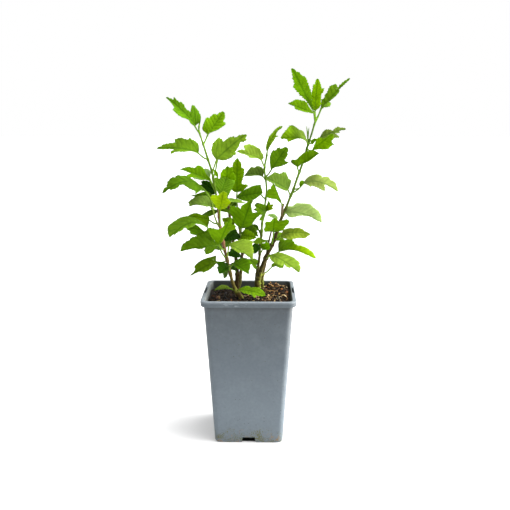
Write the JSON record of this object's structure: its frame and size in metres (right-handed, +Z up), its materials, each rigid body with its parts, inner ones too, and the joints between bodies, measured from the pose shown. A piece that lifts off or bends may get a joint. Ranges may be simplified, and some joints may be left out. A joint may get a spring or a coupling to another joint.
{
  "type": "potted rose of sharon",
  "caption": "Young rose of sharon with several upright leafy stems in a tall square tapered plastic nursery pot of bark compost, free-standing.",
  "frame": {"origin": "centre of the pot's underside, on its flat centre foot, level with the rim of the base that it stands on", "axes": "+Z up along the stems, -Y towards the front of the pot, +X to the right of the front view"},
  "size_m": [0.3064, 0.1871, 0.6033],
  "materials": {
    "pot": "satin grey-blue moulded plastic, a little scuffed and dusty",
    "growing_medium": "dark damp compost with tan and orange bark on top",
    "leafy_stem": "green leaves and shoots on brown woody stems"
  },
  "bodies": {
    "root": {"pot": "pot", "growing_medium": "growing_medium", "stem_left": "leafy_stem", "stem_middle": "leafy_stem", "stem_right": "leafy_stem", "stem_back": "leafy_stem"}
  },
  "joints": []
}
